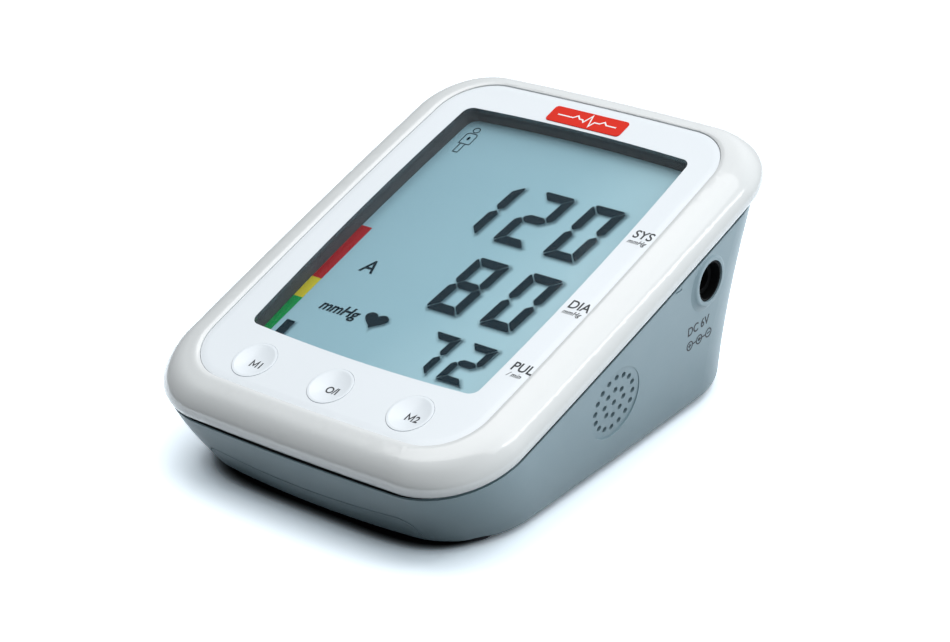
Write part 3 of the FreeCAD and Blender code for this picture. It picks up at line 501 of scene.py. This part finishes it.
lettering("lcd_unit", "mmHg", 4.75, lambda a, b, h: on_panel(-27.9 + a, -31.5 + b, LCD_W + 0.06 + h), SEG, shear=0.22,
          spacing=1.0, squeeze=0.98, weight=0.1)


def soft_shadow(name, polys, dx, dy, spread, level):
    """Each shape again, shifted a little, with an edge that fades out."""
    verts, faces, fade = [], [], []
    for poly in polys:
        area = sum(poly[k][0] * poly[(k + 1) % len(poly)][1] - poly[(k + 1) % len(poly)][0] * poly[k][1] for k in range(len(poly)))
        if area < 0:
            poly = poly[::-1]
        n = len(poly)
        base = len(verts)
        rings = []
        for off, f in ((-0.25 * spread, 1.0), (0.35 * spread, 0.42), (1.0 * spread, 0.0)):
            ring = []
            for i in range(n):
                p, a, b = Vector(poly[i]), Vector(poly[i - 1]), Vector(poly[(i + 1) % n])
                d1, d2 = (p - a).normalized(), (b - p).normalized()
                n1, n2 = Vector((d1.y, -d1.x)), Vector((d2.y, -d2.x))
                mid = (n1 + n2).normalized()
                k = off / max(mid.dot(n1), 0.55)
                ring.append((p.x + mid.x * k + dx, p.y + mid.y * k + dy))
            rings.append(ring)
            fade += [f * level] * n
        for ring in rings:
            verts += [on_panel(x, y, LCD_W + 0.012) for x, y in ring]
        for t in tessellate_polygon([[Vector((x, y, 0)) for x, y in rings[0]]]):
            faces.append(tuple(base + i for i in t))
        for r in range(2):
            for i in range(n):
                a, b = base + r * n + i, base + r * n + (i + 1) % n
                faces.append((a, a + n, b + n, b))
    o = new_mesh(name, verts, faces, SHADE)
    at = o.data.attributes.new("fade", "FLOAT", "POINT")
    at.data.foreach_set("value", fade)
    return o


soft_shadow("lcd_digit_shadow", segs, 0.75, -0.45, 1.15, 1.0)
soft_shadow("lcd_mark_shadow", [heart[::3], block], 0.6, -0.4, 0.9, 0.9)

# ------------------------------------------------------------------ printing on the panel and the buttons
panel_tree = bvh("front_panel")
for nm, top, low, v in (("label_upper", "SYS", "mmHg", 15.95), ("label_lower", "DIA", "mmHg", -11.6), ("label_pulse", "PUL", "/ min", -34.9)):
    lettering(nm, top, 4.0, dropped(panel_tree, 39.45, v - 0.1), INK, shear=0.05, spacing=1.0, squeeze=0.95, weight=0.045)
    lettering(nm + "_unit", low, 2.0, dropped(panel_tree, 39.35 if low == "mmHg" else 39.9, v - 2.2), INK, shear=0.28, spacing=1.05, squeeze=0.98, weight=0.012)
for node, body, text, du in (("button_m1", "m1_key", "1", -25.77), ("button_power", "power_key", "O/I", 0.0), ("button_m2", "m2_key", "2", 25.77)):
    tree = bvh(node)
    if text == "O/I":
        lettering("mark_power", text, 3.1, dropped(tree, du + 1.25, -58.75), INK, body=body, align="CENTER", squeeze=0.95, weight=0.045)
        continue
    h, b = 2.15, 2.0
    slab("mark_m_" + text, [stroke([(0, 0), (0.05, h), (b / 2, 0.55), (b - 0.05, h), (b, 0)], 0.36)], dropped(tree, du - 0.35, -58.8), INK,
         body=body, top=0.04)
    lettering("mark_m" + text, text, 3.0, dropped(tree, du + 2.1, -58.8), INK, body=body, squeeze=0.98, weight=0.05)

# plain badge: a white pulse line on red
badge_tree = bvh("badge")
pulse = [(-9.6, -0.1), (-4.6, -0.1), (-3.5, 1.0), (-2.4, -0.1), (-1.4, -0.1), (-0.7, -0.9), (0.55, 2.1), (1.7, -2.0), (2.5, -0.1),
         (4.2, -0.1), (5.3, 0.9), (6.4, -0.1), (9.6, -0.1)]
slab("badge_line", [stroke(pulse, 0.42)], dropped(badge_tree, 0.0, 50.95, lift=0.0), WHITE_INK, top=0.03, low=-0.03)

# ------------------------------------------------------------------ marks beside the power socket
house_tree = bvh("lower_housing")


def on_side(y0, z0, roll=0.0):
    c, s = math.cos(roll), math.sin(roll)

    def where(a, b, h):
        y, z = y0 + a * c - b * s, z0 + a * s + b * c
        hit, nrm, _, _ = house_tree.ray_cast(Vector((0.09, y * MM, z * MM)), Vector((-1, 0, 0)))
        if hit is None:
            return Vector((55, y, z)) * MM
        if nrm.x < 0:
            nrm = -nrm
        return hit + nrm * ((h + 0.012) * MM)
    return where


lettering("mark_volts", "DC 6V", 3.55, on_side(21.6, 24.75), INK, squeeze=0.92, spacing=1.02, weight=0.05)
ring_r = 1.2
polar = []
for cx in (0.0, 4.1, 8.2):
    polar.append(stroke(disc(cx, 0, ring_r, 24), 0.34, True))
polar += [stroke([(ring_r, 0), (4.1 - ring_r, 0)], 0.34), stroke([(4.1, 0), (8.2 - ring_r, 0)], 0.34),
          stroke([(-0.66, 0), (0.66, 0)], 0.3), stroke([(0, -0.66), (0, 0.66)], 0.3), stroke([(7.55, 0), (8.85, 0)], 0.32),
          [disc(4.1, 0, 0.5, 16)]]
slab("mark_polarity", polar, on_side(23.1, 21.55), INK, top=0.04)

# ------------------------------------------------------------------ floor, light, camera
k = Mat("floor_white")
k.link(k.ramp(k.noise(3.0, 2.0), [(0.3, (1.44, 1.55, 1.64, 1)), (0.7, (1.46, 1.57, 1.66, 1))]), k.b.inputs["Base Color"])
k.b.inputs["Roughness"].default_value = 0.9
k.b.inputs["Specular IOR Level"].default_value = 0.0
me = bpy.data.meshes.new("floor")
R = 6.0
CARD = (0.085, 0.105, 0.095)
# left, right, front, rear edge in mm and how dark the painted contact shadow is there
PAINTED_SHADOW_RINGS = [(-43.0, 45.0, -59.4, 47.0, 1.0), (-45.0, 45.4, -61.1, 47.8, 0.68), (-47.6, 46.0, -63.1, 48.8, 0.17), (-50.8, 46.8, -65.4, 50.0, 0.0)]
me.from_pydata([(-R, -R, 0), (R, -R, 0), (R, R, 0), (-R, R, 0)], [], [(0, 1, 2, 3)])
me.materials.append(k.m)
floor = bpy.data.objects.new("floor", me)
bpy.context.scene.collection.objects.link(floor)
floor.visible_diffuse = False

# a dark card just under the floor sheet keeps light from coming up close to the object
k = Mat("card_black")
k.link(k.ramp(k.noise(20.0, 2.0), [(0.3, (0.008, 0.009, 0.010, 1)), (0.7, (0.012, 0.013, 0.014, 1))]), k.b.inputs["Base Color"])
k.b.inputs["Roughness"].default_value = 0.95
k.b.inputs["Specular IOR Level"].default_value = 0.0
me = bpy.data.meshes.new("card")
me.from_pydata([(-CARD[0], -CARD[1], -0.0006), (CARD[0], -CARD[1], -0.0006), (CARD[0], CARD[2], -0.0006), (-CARD[0], CARD[2], -0.0006)], [], [(0, 1, 2, 3)])
me.materials.append(k.m)
card = bpy.data.objects.new("card", me)
bpy.context.scene.collection.objects.link(card)

# a painted contact shadow under the base: a black sheet inside the overhang of the tub, darkest in the middle, fading
# out to nothing at its edge
PAINTED_SHADOW_MAT = Mat("painted_contact_shadow")
PAINTED_SHADOW_MAT.link(PAINTED_SHADOW_MAT.ramp(PAINTED_SHADOW_MAT.noise(400.0, 2.0), [(0.3, (0.006, 0.006, 0.007, 1)), (0.7, (0.009, 0.009, 0.010, 1))]), PAINTED_SHADOW_MAT.b.inputs["Base Color"])
PAINTED_SHADOW_MAT.b.inputs["Roughness"].default_value = 0.95
PAINTED_SHADOW_MAT.b.inputs["Specular IOR Level"].default_value = 0.0
at = PAINTED_SHADOW_MAT.n.new("ShaderNodeAttribute")
at.attribute_name = "fade"
thin = PAINTED_SHADOW_MAT.n.new("ShaderNodeBsdfTransparent")
mix = PAINTED_SHADOW_MAT.n.new("ShaderNodeMixShader")
PAINTED_SHADOW_MAT.link(at.outputs["Fac"], mix.inputs[0])
PAINTED_SHADOW_MAT.link(thin.outputs[0], mix.inputs[1])
PAINTED_SHADOW_MAT.link(PAINTED_SHADOW_MAT.b.outputs[0], mix.inputs[2])
PAINTED_SHADOW_MAT.link(mix.outputs[0], PAINTED_SHADOW_MAT.out.inputs["Surface"])
verts, faces, fade = [], [], []
N = 144
for left, right, front, rear, f in PAINTED_SHADOW_RINGS:
    cx, cy, ha, hb = (left + right) / 2, (front + rear) / 2, (right - left) / 2, (rear - front) / 2
    for i in range(N):
        c, q = math.cos(2 * math.pi * i / N), math.sin(2 * math.pi * i / N)
        x = cx + ha * math.copysign(abs(c) ** 0.4, c)
        y = cy + hb * math.copysign(abs(q) ** 0.4, q)
        verts.append((x * MM, y * MM, 0.04 * MM))
        fade.append(f)
faces.append(tuple(range(N)))
for r in range(len(PAINTED_SHADOW_RINGS) - 1):
    for i in range(N):
        j = (i + 1) % N
        faces.append((r * N + i, (r + 1) * N + i, (r + 1) * N + j, r * N + j))
me = bpy.data.meshes.new("painted_shadow")
me.from_pydata(verts, [], faces)
me.materials.append(PAINTED_SHADOW_MAT.m)
me.attributes.new("fade", "FLOAT", "POINT").data.foreach_set("value", fade)
painted_shadow = bpy.data.objects.new("painted_shadow", me)
bpy.context.scene.collection.objects.link(painted_shadow)

# direction, where it starts, where it is full, colour
STUDIO = [
    ((0, 0, 1), -0.5, 0.2, (0.024, 0.030, 0.034)),
    ((0.03, 0.33, 0.94), 0.43, 0.97, (0.94, 0.955, 0.962)),
    ((1.0, 0.0, 0.02), 0.05, 0.95, (0.64, 0.675, 0.695)),
    ((0.80, -0.60, 0.0), 0.3, 1.0, (0.16, 0.17, 0.175)),
    ((0.2, 1.0, 0.15), 0.0, 0.95, (0.42, 0.43, 0.44)),
    ((-1.0, 0.30, 0.25), 0.0, 0.95, (0.22, 0.23, 0.24)),
]
# name, place, aim, width, height, watts, long side
BOXES = [
    ("softbox_top", (-0.12, 0.20, 1.24), (-0.12, 0.20, 0.0), 1.6, 0.8, 6.5, None),
    ("strip_right", (0.60, 0.25, 0.90), (0.05, -0.02, 0.04), 0.09, 0.60, 0.7, (0.43, 0.90, 0.0)),
]

world = bpy.data.worlds.new("studio")
bpy.context.scene.world = world
world.use_nodes = True
wt = world.node_tree
bg = wt.nodes["Background"]
tc = wt.nodes.new("ShaderNodeTexCoord")


def lobe(axis, lo, hi, colour):
    """Soft light from one side of the studio: colour where the direction lies along axis, fading out to nothing."""
    dot = wt.nodes.new("ShaderNodeVectorMath")
    dot.operation = "DOT_PRODUCT"
    wt.links.new(tc.outputs["Generated"], dot.inputs[0])
    dot.inputs[1].default_value = Vector(axis).normalized()
    mr = wt.nodes.new("ShaderNodeMapRange")
    mr.interpolation_type = "SMOOTHSTEP"
    mr.inputs["From Min"].default_value = lo
    mr.inputs["From Max"].default_value = hi
    wt.links.new(dot.outputs["Value"], mr.inputs["Value"])
    mul = wt.nodes.new("ShaderNodeVectorMath")
    mul.operation = "SCALE"
    mul.inputs[0].default_value = colour
    wt.links.new(mr.outputs["Result"], mul.inputs["Scale"])
    return mul.outputs[0]


total = None
for spec in STUDIO:
    part = lobe(*spec)
    if total is None:
        total = part
    else:
        add = wt.nodes.new("ShaderNodeVectorMath")
        add.operation = "ADD"
        wt.links.new(total, add.inputs[0])
        wt.links.new(part, add.inputs[1])
        total = add.outputs[0]
wt.links.new(total, bg.inputs["Color"])
bg.inputs["Strength"].default_value = 1.0


def area(name, loc, aim, size, size_y, watts, along):
    li = bpy.data.lights.new(name, "AREA")
    li.shape = "RECTANGLE"
    li.size, li.size_y = size, size_y
    li.energy = watts
    o = bpy.data.objects.new(name, li)
    d = (Vector(aim) - Vector(loc)).normalized()
    o.rotation_mode = "QUATERNION"
    if along is None:
        o.rotation_quaternion = d.to_track_quat("-Z", "Y")
    else:
        az = -d
        ay = Vector(along)
        ay = (ay - az * ay.dot(az)).normalized()
        ax = ay.cross(az)
        o.rotation_quaternion = Matrix(((ax.x, ay.x, az.x), (ax.y, ay.y, az.y), (ax.z, ay.z, az.z))).to_quaternion()
    o.location = loc
    bpy.context.scene.collection.objects.link(o)
    return o


for spec in BOXES:
    area(*spec)

cam = bpy.data.cameras.new("camera")
cam.sensor_width = 36.0
cam.lens = 101.85
cam.clip_start, cam.clip_end = 0.01, 30.0
co = bpy.data.objects.new("camera", cam)
x, y, z = Vector((0.7591, 0.6449, -0.0895)), Vector((-0.2356, 0.4002, 0.8856)), Vector((0.6069, -0.6511, 0.4557))
z.normalize()
y = (y - z * y.dot(z)).normalized()
x = y.cross(z)
co.matrix_world = Matrix((
    (x.x, y.x, z.x, 0.41575), (x.y, y.y, z.y, -0.44311), (x.z, y.z, z.z, 0.3358), (0, 0, 0, 1)))
bpy.context.scene.collection.objects.link(co)
bpy.context.scene.camera = co
bpy.context.scene.view_settings.view_transform = "Standard"
bpy.context.scene.view_settings.look = "None"
